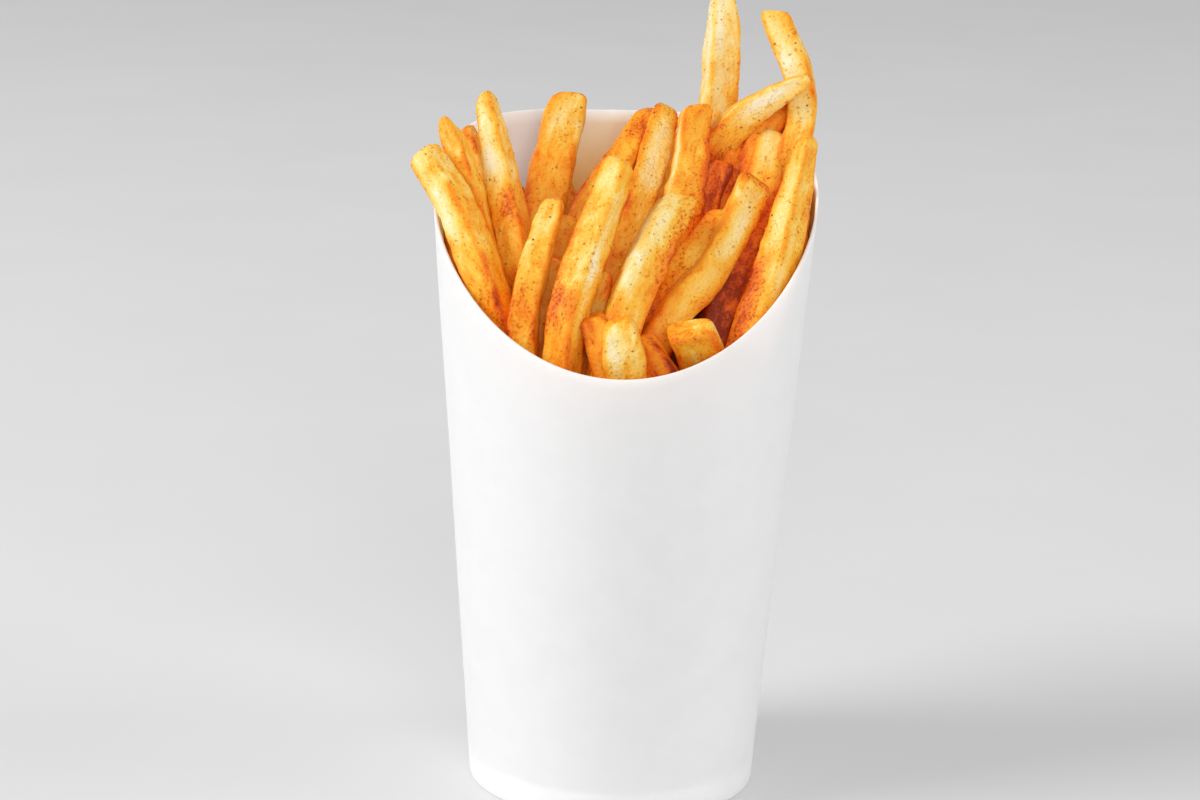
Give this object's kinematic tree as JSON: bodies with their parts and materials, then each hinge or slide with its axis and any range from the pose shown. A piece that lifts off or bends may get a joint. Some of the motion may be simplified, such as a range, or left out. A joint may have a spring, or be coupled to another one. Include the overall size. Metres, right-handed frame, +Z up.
{
  "type": "scoop cup of french fries",
  "caption": "Seasoned french fries standing in a round, tapered paperboard scoop cup with a flat base, its mouth cut low at the front and high at the back.",
  "frame": {"origin": "on the surface that the cup stands on, under the middle of the whole", "axes": "+Z up, -Y towards the low front of the mouth, +X to the right of someone who looks at the front"},
  "size_m": [0.0887, 0.0835, 0.1793],
  "materials": {
    "board": "plain white paperboard, smooth and uncoated outside, with a raw cut edge at the mouth",
    "fried_potato": "fried potato: golden yellow crust with pale cream flats, orange edges and red-brown spice specks, slightly oily"
  },
  "bodies": {
    "root": {"cup_wall": "board", "cup_base": "board", "fries": "fried_potato"}
  },
  "joints": []
}
